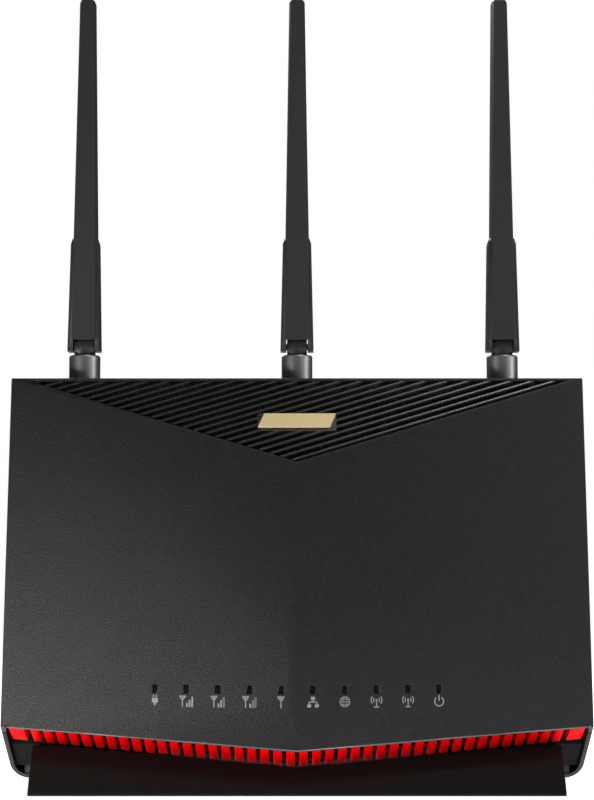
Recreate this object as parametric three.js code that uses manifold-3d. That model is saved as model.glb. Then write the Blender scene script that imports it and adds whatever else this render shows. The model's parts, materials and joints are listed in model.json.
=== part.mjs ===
// Upright wireless router: faceted front shell with a slatted V grille, red intake comb under its
// lower edge, wide stand, rear socket row and three screwed-on antennas that swivel and fold.
// Millimetres, +Z up, front towards -Y, the origin on the floor under the centre of the stand.
import * as THREE from "three";
import { ConvexGeometry } from "three/addons/geometries/ConvexGeometry.js";
import { mergeVertices } from "three/addons/utils/BufferGeometryUtils.js";
import Module from "manifold-3d";

const wasm = await Module();
wasm.setup();

// ---------------------------------------------------------------- driving dimensions

// Housing outline
const HALF_WIDTH = 110;
const CORNER_LOW = { y: -22.5, z: 23.75 };
const CORNER_TOP = { y: -6.8, z: 155.4 };
const RIDGE_LOW = { y: -41.5, z: 16.3 };
const RIDGE_TOP = { y: -29.02, z: 121 };
const REAR_TOP = { y: 21.5, z: 149.5 };
const REAR_KNEE = { y: 30, z: 60 };
const SKIRT_REAR = { y: 8.9, z: 4.1 };
const SKIRT_FLOOR = 1.5;
const SKIRT_RADIUS = 6;
const WALL = 1.8;
const PARTING_DEPTH = 4;
const GAP = 0.3;

// Underside and stand
const SHELF_Z = 7;
const SHELF_THICK = 1.8;
const CHANNEL_HALF = 100.3;
const STAND_FRONT = -41.5;
const STAND_REAR = 41.5;
const STAND_BOTTOM = 0.6;
const STAND_HALF_FRONT = 97;
const STAND_HALF_REAR = 99.5;
const STAND_SLOPE = THREE.MathUtils.degToRad(26);
const FOOT_RADIUS = 5;
const FOOT_PLACES = { x: 84, front: -30, rear: 33 };

// Red intake comb
const VENT_SLOPE = THREE.MathUtils.degToRad(22.4);
const FIN_PITCH = 4.75;
const FIN_WIDTH = 3.15;
const FINS_PER_SIDE = 21;
const FIN_START = 1;
const FIN_TOP = 3.2;
const COMB_BAR_START = 2.6;
const LIP_THICK = 0.6;
const FIN_END_CENTRE = 19.9;
const FIN_END_SHORTER = 5 / 106;
const END_TOOTH = [101.2, 107.2];
const TRAY_HEIGHT = 5.8;
const TRAY_HALF = 107.9;
const LIP_HALF = 108.2;
// The two halves of anything under the ridge run this far past the middle to join.
const RIDGE_LAP = 0.6;

// Grille
const SLAT_PITCH = 2.88;
const SLAT_WIDTH = 1.3;
const SLATS = 25;
// Middle of the lowest slat above the edge of the V, as a share of the pitch.
const FIRST_SLAT = 0.96;
const GRILLE_RIBS = [-62, -34, 34, 62];
const WINDOW_RIM = 1.1;
const BADGE_HALF = 13.6;
const BADGE_LOW = 16.8;
const BADGE_HIGH = 23.2;
const BADGE_LEAN = 2.2;
const BADGE_SEAT_SIDE = 1.3;
const BADGE_SEAT_EDGE = 1;

// Indicator slots
const LED_PLACES = [5.8, 17.4, 29, 40.6, 52.1];
const LED_Z = 38.3;
const LED_WIDTH = 1.7;
const LED_HEIGHT = 3;

// Electronics
const BOARD = { half: 94, low: 12, high: 134, front: 7, rear: 8.6 };
const BOARD_HOLES = { x: 88, low: 50, high: 124 };
const HOUSING_SCREWS = { x: 101, low: 55, high: 136 };
const SCREW_RECESS = 3.2;
const SCREW_BORE = 1.7;

// Rear ventilation slots
const REAR_SLOTS = { rows: 11, low: 62, pitch: 6, height: 2.4, near: 14, far: 82 };

// Socket row
const FACE_Y = 29.2;
const ROW_HALF = 93.7;
const ROW_LOW = 13.3;
const ROW_HIGH = 42.7;
const SOCKET_Z = 22.5;
const NETWORK_PLACES = { wan_jack: 27, lan_jack_1: 9, lan_jack_2: -9, lan_jack_3: -27, lan_jack_4: -45 };
const PLACE = { power: 84, dc: 70, reset: 60, usb: 47, wps: -60, wifi: -69.5, sim: -83 };

// Antennas
const ANTENNA_Y = 7.5;
const ANTENNA_PLACES = { left: -83.4, center: 0, right: 80.6 };
const PIVOT_Z = 169;
const COLLAR_RADIUS = 6.1;
const COLLAR_LOW = 153.2;
const COLLAR_HIGH = 165.6;
// The flat rear of a blade lies just above the collar when the antenna is folded down.
const BLADE_REAR = 3.1;
const TIP_Z = 308;

// ---------------------------------------------------------------- solids and placing

function solid(geometry) {
  const plain = geometry.index ? geometry.toNonIndexed() : geometry.clone();
  plain.deleteAttribute("normal");
  plain.deleteAttribute("uv");
  const merged = mergeVertices(plain, 1e-4);
  const mesh = new wasm.Mesh({
    numProp: 3,
    vertProperties: new Float32Array(merged.attributes.position.array),
    triVerts: new Uint32Array(merged.index.array),
  });
  return new wasm.Manifold(mesh);
}

function join(parts) {
  return parts.reduce((whole, part) => whole.add(part));
}

function cut(body, tools) {
  return tools.reduce((left, tool) => left.subtract(tool), body);
}

function block(x0, x1, y0, y1, z0, z1) {
  const geometry = new THREE.BoxGeometry(x1 - x0, y1 - y0, z1 - z0);
  return solid(geometry.translate((x0 + x1) / 2, (y0 + y1) / 2, (z0 + z1) / 2));
}

function shapeOf(points) {
  return new THREE.Shape(points.map(([a, b]) => new THREE.Vector2(a, b)));
}

// A side profile given as (y, z) points, drawn out along X.
function sideProfile(points, x0, x1) {
  const geometry = new THREE.ExtrudeGeometry(shapeOf(points), { depth: x1 - x0, bevelEnabled: false });
  const turn = new THREE.Matrix4().makeBasis(
    new THREE.Vector3(0, 1, 0),
    new THREE.Vector3(0, 0, 1),
    new THREE.Vector3(1, 0, 0),
  );
  return solid(geometry.applyMatrix4(turn).translate(x0, 0, 0));
}

// A front profile given as a shape in (x, z), drawn out along Y.
function frontProfile(shape, y0, y1, curveSegments = 6) {
  const settings = { depth: y1 - y0, bevelEnabled: false, curveSegments };
  const turn = new THREE.Matrix4().makeBasis(
    new THREE.Vector3(1, 0, 0),
    new THREE.Vector3(0, 0, 1),
    new THREE.Vector3(0, -1, 0),
  );
  return solid(new THREE.ExtrudeGeometry(shape, settings).applyMatrix4(turn).translate(0, y1, 0));
}

function rodX(x0, x1, y, z, radius, sides = 16) {
  const geometry = new THREE.CylinderGeometry(radius, radius, x1 - x0, sides).rotateZ(Math.PI / 2);
  return solid(geometry.translate((x0 + x1) / 2, y, z));
}

function rodY(x, y0, y1, z, radius, sides = 16) {
  const geometry = new THREE.CylinderGeometry(radius, radius, y1 - y0, sides);
  return solid(geometry.translate(x, (y0 + y1) / 2, z));
}

function rodZ(x, y, z0, z1, radius, sides = 20) {
  const geometry = new THREE.CylinderGeometry(radius, radius, z1 - z0, sides).rotateX(Math.PI / 2);
  return solid(geometry.translate(x, y, (z0 + z1) / 2));
}

// A ring turned about a vertical axis from a closed (radius, z) profile.
function turned(x, y, profile, sides = 22) {
  const points = [...profile, profile[0]].map(([r, z]) => new THREE.Vector2(r, z));
  const geometry = new THREE.LatheGeometry(points, sides).rotateX(Math.PI / 2);
  return solid(geometry.translate(x, y, 0));
}

function hull(points) {
  return solid(new ConvexGeometry(points.map(([x, y, z]) => new THREE.Vector3(x, y, z))));
}

function vector(x, y, z) {
  return new THREE.Vector3(x, y, z);
}

// Everything on the far side of a plane, as a block large enough to trim the router.
function beyond(point, normal) {
  const size = 700;
  const turn = new THREE.Quaternion().setFromUnitVectors(vector(0, 0, 1), normal);
  const geometry = new THREE.BoxGeometry(size, size, size).translate(0, 0, size / 2);
  return solid(geometry.applyQuaternion(turn).translate(point.x, point.y, point.z));
}

// A plane through three points whose normal looks the way of the given direction.
function planeOf(a, b, c, towards) {
  const normal = vector().crossVectors(b.clone().sub(a), c.clone().sub(a)).normalize();
  if (normal.dot(towards) < 0) normal.negate();
  return { point: a, normal };
}

function trim(body, plane, shift = 0) {
  return body.subtract(beyond(plane.point.clone().addScaledVector(plane.normal, shift), plane.normal));
}

// ---------------------------------------------------------------- planes of the housing

const frontward = vector(0, -1, 0);
const upward = vector(0, 0, 1);
const rearward = vector(0, 1, 0);
const ridgeLow = vector(0, RIDGE_LOW.y, RIDGE_LOW.z);
const ridgeTop = vector(0, RIDGE_TOP.y, RIDGE_TOP.z);

function cornerLow(side) {
  return vector(side * HALF_WIDTH, CORNER_LOW.y, CORNER_LOW.z);
}

function cornerTop(side) {
  return vector(side * HALF_WIDTH, CORNER_TOP.y, CORNER_TOP.z);
}

const facets = { "-1": facetPlane(-1), 1: facetPlane(1) };
const grillePlane = planeOf(cornerTop(-1), cornerTop(1), ridgeTop, frontward);
const topPlane = planeOf(cornerTop(-1), cornerTop(1), vector(0, REAR_TOP.y, REAR_TOP.z), upward);
const rearUpper = planeOf(
  vector(-1, REAR_TOP.y, REAR_TOP.z),
  vector(1, REAR_TOP.y, REAR_TOP.z),
  vector(0, REAR_KNEE.y, REAR_KNEE.z),
  rearward,
);
const rearLower = { point: vector(0, REAR_KNEE.y, 0), normal: rearward };
const skirtPlane = planeOf(
  cornerLow(-1),
  cornerLow(1),
  vector(0, SKIRT_REAR.y, SKIRT_REAR.z),
  frontward,
);
const ventPlanes = [-1, 1].map((side) =>
  planeOf(
    cornerLow(side),
    ridgeLow,
    ridgeLow.clone().add(vector(0, Math.cos(VENT_SLOPE), -Math.sin(VENT_SLOPE))),
    vector(0, 0, -1),
  ),
);
const partingNormal = vector(0, CORNER_TOP.z - CORNER_LOW.z, CORNER_LOW.y - CORNER_TOP.y).normalize();
const parting = {
  point: vector(0, CORNER_LOW.y + PARTING_DEPTH, CORNER_LOW.z),
  normal: partingNormal,
};

function facetPlane(side) {
  return planeOf(cornerLow(side), cornerTop(side), ridgeLow, frontward);
}

// Width and underside of the housing, with the rounded lower corners of the side skirts.
function skirtOutline(inset) {
  const half = HALF_WIDTH - inset;
  const low = SKIRT_FLOOR + inset;
  const radius = SKIRT_RADIUS - inset;
  const shape = new THREE.Shape();
  shape.moveTo(half, 180);
  shape.lineTo(-half, 180);
  shape.lineTo(-half, low + radius);
  shape.absarc(-half + radius, low + radius, radius, Math.PI, 1.5 * Math.PI, false);
  shape.lineTo(half - radius, low);
  shape.absarc(half - radius, low + radius, radius, 1.5 * Math.PI, 2 * Math.PI, false);
  shape.closePath();
  return shape;
}

// The whole housing as one solid, its faces moved inwards by the inset.
function envelope(inset) {
  const planes = [facets[-1], facets[1], grillePlane, topPlane, rearUpper, rearLower];
  const start = frontProfile(skirtOutline(inset), -60, 60);
  return planes.reduce((body, plane) => trim(body, plane, -inset), start);
}

const outside = envelope(0);
const inside = envelope(WALL);
const screwPlaces = [-1, 1].flatMap((side) =>
  [HOUSING_SCREWS.low, HOUSING_SCREWS.high].map((z) => ({ x: side * HOUSING_SCREWS.x, z })),
);

// Where the housing's rear wall stands at a height.
function rearAt(z) {
  if (z <= REAR_KNEE.z) return REAR_KNEE.y;
  const share = (z - REAR_KNEE.z) / (REAR_TOP.z - REAR_KNEE.z);
  return REAR_KNEE.y + share * (REAR_TOP.y - REAR_KNEE.y);
}

// ---------------------------------------------------------------- frames on the front faces

// A frame on a front facet at a given x and z: X along the facet, Y up its slope, Z out of it.
function onFacet(side, x, z) {
  const { point, normal } = facets[side];
  const y = point.y - ((x - point.x) * normal.x + (z - point.z) * normal.z) / normal.y;
  const up = ridgeTop.clone().sub(ridgeLow).normalize();
  const along = vector().crossVectors(up, normal);
  return new THREE.Matrix4().makeBasis(along, up, normal).setPosition(x, y, z);
}

// The grille's own frame: origin at the tip of the V, X to the right, Y up its slope, Z out of it.
const grilleUp = vector(0, CORNER_TOP.y - RIDGE_TOP.y, CORNER_TOP.z - RIDGE_TOP.z);
const grilleHeight = grilleUp.length();
const grilleFrame = new THREE.Matrix4()
  .makeBasis(
    vector(1, 0, 0),
    grilleUp.clone().normalize(),
    vector().crossVectors(vector(1, 0, 0), grilleUp).normalize(),
  )
  .setPosition(0, RIDGE_TOP.y, RIDGE_TOP.z);
const grilleAngle = Math.atan2(grilleHeight, HALF_WIDTH);

function framedBlock(frame, x0, x1, y0, y1, z0, z1) {
  const geometry = new THREE.BoxGeometry(x1 - x0, y1 - y0, z1 - z0);
  geometry.translate((x0 + x1) / 2, (y0 + y1) / 2, (z0 + z1) / 2);
  return solid(geometry.applyMatrix4(frame));
}

function grillePlate(points, z0, z1) {
  const geometry = new THREE.ExtrudeGeometry(shapeOf(points), { depth: z1 - z0, bevelEnabled: false });
  return solid(geometry.translate(0, 0, z0).applyMatrix4(grilleFrame));
}

// The V-shaped field of the grille facet, drawn in from its three edges.
function grilleTriangle(inset) {
  const tip = inset / Math.cos(grilleAngle);
  const top = grilleHeight - inset;
  const half = (top - tip) / Math.tan(grilleAngle);
  return [
    [0, tip],
    [half, top],
    [-half, top],
  ];
}

// ---------------------------------------------------------------- housing

function makeFrontCover() {
  const skin = trim(outside.subtract(inside), parting);
  const belowLips = ventPlanes.map((plane) =>
    trim(block(-LIP_HALF, LIP_HALF, -60, 60, -20, 60), flipped(plane)),
  );
  const skirtCorner = trim(block(-120, 120, -60, 60, -20, 60), flipped(skirtPlane));
  const sides = [block(-120, -LIP_HALF, -60, 60, -20, 60), block(LIP_HALF, 120, -60, 60, -20, 60)];
  const posts = screwPlaces.map(({ x, z }) =>
    rodY(x, -40, 11.7, z, 3.4, 14).intersect(envelope(0.6)),
  );
  const postHoles = screwPlaces.map(({ x, z }) => rodY(x, -1, 12, z, SCREW_BORE, 10));
  const ledHoles = [-1, 1].flatMap((side) =>
    LED_PLACES.map((x) =>
      framedBlock(
        onFacet(side, side * x, LED_Z),
        -LED_WIDTH / 2,
        LED_WIDTH / 2,
        -LED_HEIGHT / 2,
        LED_HEIGHT / 2,
        -4,
        2,
      ),
    ),
  );
  const rebates = [-1, 1].map((side) =>
    underBlock(side, -RIDGE_LAP, 108, () => LIP_THICK, () => COMB_BAR_START, -1, FIN_TOP + GAP),
  );
  return cut(join([skin, ...posts]), [
    ...belowLips,
    ...rebates,
    ...sides.map((side) => side.intersect(skirtCorner)),
    grillePlate(grilleTriangle(WINDOW_RIM), -4, 4),
    ...postHoles,
    ...ledHoles,
  ]);
}

function flipped(plane) {
  return { point: plane.point, normal: plane.normal.clone().negate() };
}

function makeRearCover() {
  const behind = { point: parting.point.clone().addScaledVector(partingNormal, GAP), normal: partingNormal };
  const shell = outside.subtract(inside);
  const shelf = block(-109, 109, 7.5, 29, SHELF_Z, SHELF_Z + SHELF_THICK);
  const skirtWalls = [-1, 1].map((side) => {
    const edges = [side * CHANNEL_HALF, side * (CHANNEL_HALF + 1.6)].sort((a, b) => a - b);
    return block(edges[0], edges[1], 9, 29, SKIRT_FLOOR, SHELF_Z + 1);
  });
  const screwBosses = screwPlaces.map(({ x, z }) => rodY(x, 12, rearAt(z) + 2, z, 4.4, 14));
  const boardBosses = [-1, 1].flatMap((side) =>
    [BOARD_HOLES.low, BOARD_HOLES.high].map((z) =>
      rodY(side * BOARD_HOLES.x, BOARD.rear + GAP, rearAt(z) - 0.5, z, 3, 12),
    ),
  );
  const antennaPads = Object.values(ANTENNA_PLACES).map((x) => rodZ(x, ANTENNA_Y, 149.6, 156, 8, 24));
  const solidParts = join([shell, shelf, ...skirtWalls, ...screwBosses, ...boardBosses, ...antennaPads]);
  const kept = trim(solidParts.intersect(outside), flipped(behind));
  const screwHoles = screwPlaces.flatMap(({ x, z }) => [
    rodY(x, 0, 40, z, SCREW_BORE, 10),
    rodY(x, rearAt(z) - SCREW_RECESS, 40, z, 3.3, 14),
  ]);
  const antennaHoles = Object.values(ANTENNA_PLACES).flatMap((x) => [
    rodZ(x, ANTENNA_Y, COLLAR_LOW - GAP, 175, COLLAR_RADIUS + 0.9, 24),
    rodZ(x, ANTENNA_Y, 140, 175, 3.4, 16),
  ]);
  const vents = [-1, 1].flatMap((side) =>
    Array.from({ length: REAR_SLOTS.rows }, (_, row) => {
      const low = REAR_SLOTS.low + row * REAR_SLOTS.pitch;
      const edges = [side * REAR_SLOTS.near, side * REAR_SLOTS.far].sort((a, b) => a - b);
      return block(edges[0], edges[1], 15, 40, low, low + REAR_SLOTS.height);
    }),
  );
  return cut(kept, [
    trim(block(-120, 120, -60, 60, -20, 60), flipped(skirtPlane)),
    block(-CHANNEL_HALF, CHANNEL_HALF, -60, 60, -5, SHELF_Z),
    block(-ROW_HALF - GAP, ROW_HALF + GAP, 20, 40, ROW_LOW - GAP, ROW_HIGH + GAP),
    ...screwHoles,
    ...antennaHoles,
    ...vents,
  ]);
}

function makeGrillePanel() {
  const slats = Array.from({ length: SLATS }, (_, i) => {
    const middle = (i + FIRST_SLAT) * SLAT_PITCH;
    const turn = grilleFrame.clone().multiply(new THREE.Matrix4().makeRotationZ(grilleAngle));
    return framedBlock(turn, -150, 150, middle - SLAT_WIDTH / 2, middle + SLAT_WIDTH / 2, -4, -0.3);
  });
  const field = grillePlate(grilleTriangle(WINDOW_RIM + GAP), -6, 2);
  const frame = grillePlate(grilleTriangle(-2), -4.2, -WALL - GAP).subtract(
    grillePlate(grilleTriangle(WINDOW_RIM + 1.2), -6, 2),
  );
  const ribs = GRILLE_RIBS.map((x) =>
    framedBlock(grilleFrame, x - 0.8, x + 0.8, 5, 45, -5.4, -3.8).intersect(
      grillePlate(grilleTriangle(0), -8, 2),
    ),
  );
  const seatHalf = BADGE_HALF + BADGE_SEAT_SIDE;
  const seatLow = BADGE_LOW - BADGE_SEAT_EDGE;
  const seatHigh = BADGE_HIGH + BADGE_SEAT_EDGE;
  const badgeSeat = framedBlock(grilleFrame, -seatHalf, seatHalf, seatLow, seatHigh, -5, -0.5);
  const room = envelope(WALL + GAP).add(grillePlate(grilleTriangle(WINDOW_RIM + GAP), -4, 2));
  return join([frame, join(slats).intersect(field), ...ribs, badgeSeat]).intersect(room);
}

function makeBadge() {
  const shift = BADGE_LEAN / 2;
  const points = [
    [-BADGE_HALF - shift, BADGE_LOW],
    [BADGE_HALF - shift, BADGE_LOW],
    [BADGE_HALF + shift, BADGE_HIGH],
    [-BADGE_HALF + shift, BADGE_HIGH],
  ];
  return grillePlate(points, -0.2, 0.8);
}

// ---------------------------------------------------------------- underside

// A point by its x, its distance back along the sloping underside and its height above it.
function underPoint(side, x, back, height) {
  const share = (side * x) / HALF_WIDTH;
  const edgeY = RIDGE_LOW.y + share * (CORNER_LOW.y - RIDGE_LOW.y);
  const edgeZ = RIDGE_LOW.z + share * (CORNER_LOW.z - RIDGE_LOW.z);
  return [
    x,
    edgeY + back * Math.cos(VENT_SLOPE) + height * Math.sin(VENT_SLOPE),
    edgeZ - back * Math.sin(VENT_SLOPE) + height * Math.cos(VENT_SLOPE),
  ];
}

function underBlock(side, x0, x1, backStart, backEnd, low, high) {
  const points = [x0, x1].flatMap((x) =>
    [backStart(Math.abs(x)), backEnd(Math.abs(x))].flatMap((back) =>
      [low, high].map((height) => underPoint(side, side * x, back, height)),
    ),
  );
  return hull(points);
}

function finEnd(x) {
  return FIN_END_CENTRE - FIN_END_SHORTER * x;
}

function makeComb() {
  const fins = [-1, 1].flatMap((side) => {
    const narrow = Array.from({ length: FINS_PER_SIDE }, (_, i) => (i + 0.5) * FIN_PITCH);
    const spans = narrow.map((middle) => [middle - FIN_WIDTH / 2, middle + FIN_WIDTH / 2]);
    return [...spans, END_TOOTH].map(([x0, x1]) =>
      underBlock(side, x0, x1, () => FIN_START, finEnd, 0.3, FIN_TOP),
    );
  });
  const bars = [-1, 1].flatMap((side) => [
    underBlock(side, -RIDGE_LAP, END_TOOTH[1], () => COMB_BAR_START, () => COMB_BAR_START + 2.2, 2.8, 5.2),
    underBlock(side, -RIDGE_LAP, END_TOOTH[1], (x) => finEnd(x) - 3, (x) => finEnd(x) - 0.6, 2.8, 5),
  ]);
  return join([...fins, ...bars]);
}

// How far back the intake tray reaches: less towards the sides, where the housing is shallower.
function trayEnd(x) {
  return 32 - (10 * x) / 108;
}

function makeIntakeTray() {
  const width = TRAY_HALF;
  const plates = [-1, 1].map((side) =>
    underBlock(side, -RIDGE_LAP, width, () => 2.8, trayEnd, TRAY_HEIGHT, TRAY_HEIGHT + 1.5),
  );
  const wall = (low) => block(-width, width, -7.2, -5.7, low, 28);
  const overTray = ventPlanes.reduce((body, plane) => trim(body, plane, -TRAY_HEIGHT), wall(5));
  const ramp = sideProfile(
    [
      [-7.2, 16.3],
      [7.2, 7.3],
      [7.2, 9.1],
      [-7.2, 18.1],
    ],
    -width,
    width,
  );
  return join([...plates, wall(16.4).add(overTray), ramp]);
}

function makeStand() {
  const top = STAND_BOTTOM + 1 + (-12 - STAND_FRONT) * Math.tan(STAND_SLOPE);
  const outline = [
    [STAND_FRONT, STAND_BOTTOM],
    [STAND_REAR, STAND_BOTTOM],
    [STAND_REAR, 3.6],
    [33, 10],
    [30.4, 10],
    [30.4, SHELF_Z - GAP],
    [5.5, SHELF_Z - GAP],
    [-9.5, top],
    [-12, top],
    [STAND_FRONT, STAND_BOTTOM + 0.9],
  ];
  const hollow = [
    [-35, -1],
    [28, -1],
    [28, 4.6],
    [2.6, 4.6],
    [-10.6, top - 3],
    [-13, top - 3],
    [-35, 2],
  ];
  const flare = (STAND_HALF_REAR - STAND_HALF_FRONT) / (-12 - STAND_FRONT);
  const sides = [-1, 1].map((side) => ({
    point: vector(side * STAND_HALF_FRONT, STAND_FRONT, 0),
    normal: vector(side, -flare, 0).normalize(),
  }));
  const places = [-1, 1].flatMap((side) => [
    [side * FOOT_PLACES.x, FOOT_PLACES.front],
    [side * FOOT_PLACES.x, FOOT_PLACES.rear],
  ]);
  const pillars = places.map(([x, y]) => rodZ(x, y, -2, 20, FOOT_RADIUS + 2, 20));
  const seats = places.map(([x, y]) => rodZ(x, y, -1, STAND_BOTTOM + 1.1, FOOT_RADIUS + GAP, 20));
  const slab = sideProfile(outline, -STAND_HALF_REAR, STAND_HALF_REAR);
  const body = sides.reduce((left, plane) => trim(left, plane), slab);
  const roomAt = (shift) =>
    ventPlanes.reduce((space, plane) => trim(space, plane, shift), block(-120, 120, -60, 20, -5, 40));
  const pocket = cut(sideProfile(hollow, -94, 94), [...pillars, roomAt(2.6)]);
  return cut(body, [roomAt(0.4), pocket, ...seats]);
}

function makeFoot(x, y) {
  return rodZ(x, y, 0, STAND_BOTTOM + 0.8, FOOT_RADIUS, 20);
}

function makeSkirtPad(side) {
  const edges = [side * 102.2, side * 105.4].sort((a, b) => a - b);
  return block(edges[0], edges[1], 10.5, 17, 3.7, 6.7);
}

// ---------------------------------------------------------------- electronics

function makeLightGuide(side) {
  const first = LED_PLACES[0];
  const last = LED_PLACES[LED_PLACES.length - 1];
  const middle = onFacet(side, (side * (first + last)) / 2, LED_Z);
  const half = (last - first) / 2 + 3;
  const bar = framedBlock(middle, -half, half, -2.2, 2.2, -WALL - GAP - 3, -WALL - GAP);
  const lugs = LED_PLACES.map((x) =>
    framedBlock(onFacet(side, side * x, LED_Z), -0.65, 0.65, -1.3, 1.3, -WALL - GAP - 1, -0.25),
  );
  return join([bar, ...lugs]);
}

function makeBoard() {
  const sheet = block(-BOARD.half, BOARD.half, BOARD.front, BOARD.rear, BOARD.low, BOARD.high);
  const holes = [-1, 1].flatMap((side) =>
    [BOARD_HOLES.low, BOARD_HOLES.high].map((z) => rodY(side * BOARD_HOLES.x, 0, 20, z, 1.6, 12)),
  );
  return cut(sheet, holes);
}

function makeHeatsink() {
  const front = BOARD.front - GAP;
  const plate = block(-40, 40, front - 2.5, front, 50, 112);
  const blades = Array.from({ length: 13 }, (_, i) => {
    const x = -36 + i * 6;
    return block(x - 0.6, x + 0.6, front - 15, front - 2, 52, 110);
  });
  return join([plate, ...blades]);
}

// A pressed-metal can over a radio, open towards the board.
function makeShield(x0, x1, z0, z1) {
  const front = BOARD.front - GAP;
  return block(x0, x1, front - 3.4, front, z0, z1).subtract(
    block(x0 + 0.5, x1 - 0.5, front - 2.9, front + 1, z0 + 0.5, z1 - 0.5),
  );
}

function makeModem() {
  const front = BOARD.front - GAP;
  return join([
    block(-88, -58, front - 3.6, front - 2.6, 48, 99),
    block(-87, -59, front - 5.4, front - 3.5, 54, 95),
    block(-86, -60, front - 5, front, 43, 48.6),
    block(-76, -70, front - 3, front, 95, 98.5),
  ]);
}

function makeNetworkJack(x) {
  const rear = FACE_Y + 0.3;
  return cut(block(x - 7.9, x + 7.9, BOARD.rear + GAP, rear, 16, 29.4), [
    block(x - 5.9, x + 5.9, 15.5, 40, 18.2, 25.6),
    block(x - 3.2, x + 3.2, 15.5, 40, 25.4, 27.2),
    block(x - 2, x + 2, 15.5, 40, 27, 28.3),
  ]);
}

function makeUsbPort() {
  const x = PLACE.usb;
  const cavity = block(x - 6.1, x + 6.1, 15, 40, 19.9, 25.1);
  const tongue = block(x - 5.3, x + 5.3, 14, 28.4, 23.1, 24.6);
  return block(x - 6.9, x + 6.9, BOARD.rear + GAP, FACE_Y + 0.3, 19.1, 25.9).subtract(cavity).add(tongue);
}

function makeDcJack() {
  const x = PLACE.dc;
  const shell = block(x - 4.6, x + 4.6, BOARD.rear + GAP, FACE_Y + 0.3, 17.2, 27.2);
  return shell
    .subtract(rodY(x, 16, 40, SOCKET_Z, 3.3, 20))
    .add(rodY(x, 15, 28.2, SOCKET_Z, 1, 12));
}

function makeSimSocket() {
  const x = PLACE.sim;
  return block(x - 8.6, x + 8.6, BOARD.rear + GAP, FACE_Y - 0.2, 20.2, 24.4).subtract(
    block(x - 7.7, x + 7.7, 11, 40, 21.7, 22.9),
  );
}

function makeSwitch(x, half, rear) {
  return block(x - half, x + half, BOARD.rear + GAP, rear, SOCKET_Z - half, SOCKET_Z + half);
}

function makeButton(x, radius, tail, flangeRadius, face) {
  return join([
    rodY(x, 25, face, SOCKET_Z, radius, 20),
    rodY(x, 24.3, 25.8, SOCKET_Z, flangeRadius, 20),
    rodY(x, tail, 25, SOCKET_Z, Math.min(radius, 1.6), 12),
  ]);
}

function makePortPlate() {
  const flange = block(-ROW_HALF - 3, ROW_HALF + 3, 26.2, 27.9, ROW_LOW - 3, ROW_HIGH + 3);
  const face = block(-ROW_HALF, ROW_HALF, 27, FACE_Y, ROW_LOW, ROW_HIGH);
  const networkHoles = Object.values(NETWORK_PLACES).map((x) => block(x - 8.2, x + 8.2, 20, 40, 15.7, 29.7));
  return cut(flange.add(face), [
    ...networkHoles,
    block(PLACE.usb - 7.2, PLACE.usb + 7.2, 20, 40, 18.8, 26.2),
    block(PLACE.dc - 4.9, PLACE.dc + 4.9, 20, 40, 16.9, 27.5),
    block(PLACE.sim - 8.9, PLACE.sim + 8.9, 20, 40, 19.9, 24.7),
    rodY(PLACE.power, 20, 40, SOCKET_Z, 4.8, 20),
    rodY(PLACE.wps, 20, 40, SOCKET_Z, 2.8, 20),
    rodY(PLACE.wifi, 20, 40, SOCKET_Z, 2.8, 20),
    rodY(PLACE.reset, 20, 40, SOCKET_Z, 1.5, 16),
  ]);
}

function makeHousingScrew({ x, z }) {
  const seat = rearAt(z) - SCREW_RECESS;
  const head = rodY(x, seat + GAP, seat + GAP + 2, z, 2.8, 14);
  const slots = [
    block(x - 1.7, x + 1.7, seat + 1.3, seat + 5, z - 0.3, z + 0.3),
    block(x - 0.3, x + 0.3, seat + 1.3, seat + 5, z - 1.7, z + 1.7),
  ];
  return cut(head, slots).add(rodY(x, 3, seat + GAP + 0.6, z, 1.35, 10));
}

// ---------------------------------------------------------------- antennas

function makeConnector(x) {
  return join([
    rodZ(x, ANTENNA_Y, 139, 147, 2.2, 12),
    rodZ(x, ANTENNA_Y, 146.4, 148.8, 5, 6),
    rodZ(x, ANTENNA_Y, 148.5, 162.2, 3.05, 16),
  ]);
}

function makePigtail(x) {
  const lean = x < 0 ? 1 : -1;
  const path = new THREE.CatmullRomCurve3([
    vector(x, ANTENNA_Y, 138.6),
    vector(x, 6, 135.6),
    vector(x + lean * 2, 3.4, 131),
    vector(x + lean * 7, 3.2, 124),
    vector(x + lean * 9, 5.8, 120),
  ]);
  const section = new THREE.Shape();
  section.absarc(0, 0, 0.7, 0, 2 * Math.PI, false);
  const settings = { steps: 10, curveSegments: 4, bevelEnabled: false, extrudePath: path };
  return solid(new THREE.ExtrudeGeometry(section, settings));
}

function makeCollar(x) {
  const chamfer = 0.5;
  return turned(x, ANTENNA_Y, [
    [3.45, COLLAR_LOW],
    [COLLAR_RADIUS - chamfer, COLLAR_LOW],
    [COLLAR_RADIUS, COLLAR_LOW + chamfer],
    [COLLAR_RADIUS, COLLAR_HIGH - chamfer],
    [COLLAR_RADIUS - chamfer, COLLAR_HIGH],
    [2.8, COLLAR_HIGH],
    [2.8, COLLAR_HIGH - 1.4],
    [3.45, COLLAR_HIGH - 1.4],
  ]);
}

function makeNeck(x) {
  const knuckle = rodX(x - 3.9, x + 3.9, ANTENNA_Y, PIVOT_Z, 3.9, 20).subtract(
    block(x - 5, x + 5, ANTENNA_Y - 5, ANTENNA_Y + 5, 160, COLLAR_HIGH + GAP),
  );
  const body = join([
    rodZ(x, ANTENNA_Y, 162.6, 163.8, 3.1, 16),
    rodZ(x, ANTENNA_Y, 163.6, 166.2, 2.4, 16),
    rodZ(x, ANTENNA_Y, COLLAR_HIGH + GAP, PIVOT_Z, 3.9, 20),
    knuckle,
  ]);
  return body.subtract(rodX(x - 5, x + 5, ANTENNA_Y, PIVOT_Z, 1.42, 16));
}

function makePin(x) {
  return rodX(x - 6, x + 6, ANTENNA_Y, PIVOT_Z, 1.3, 16);
}

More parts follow.
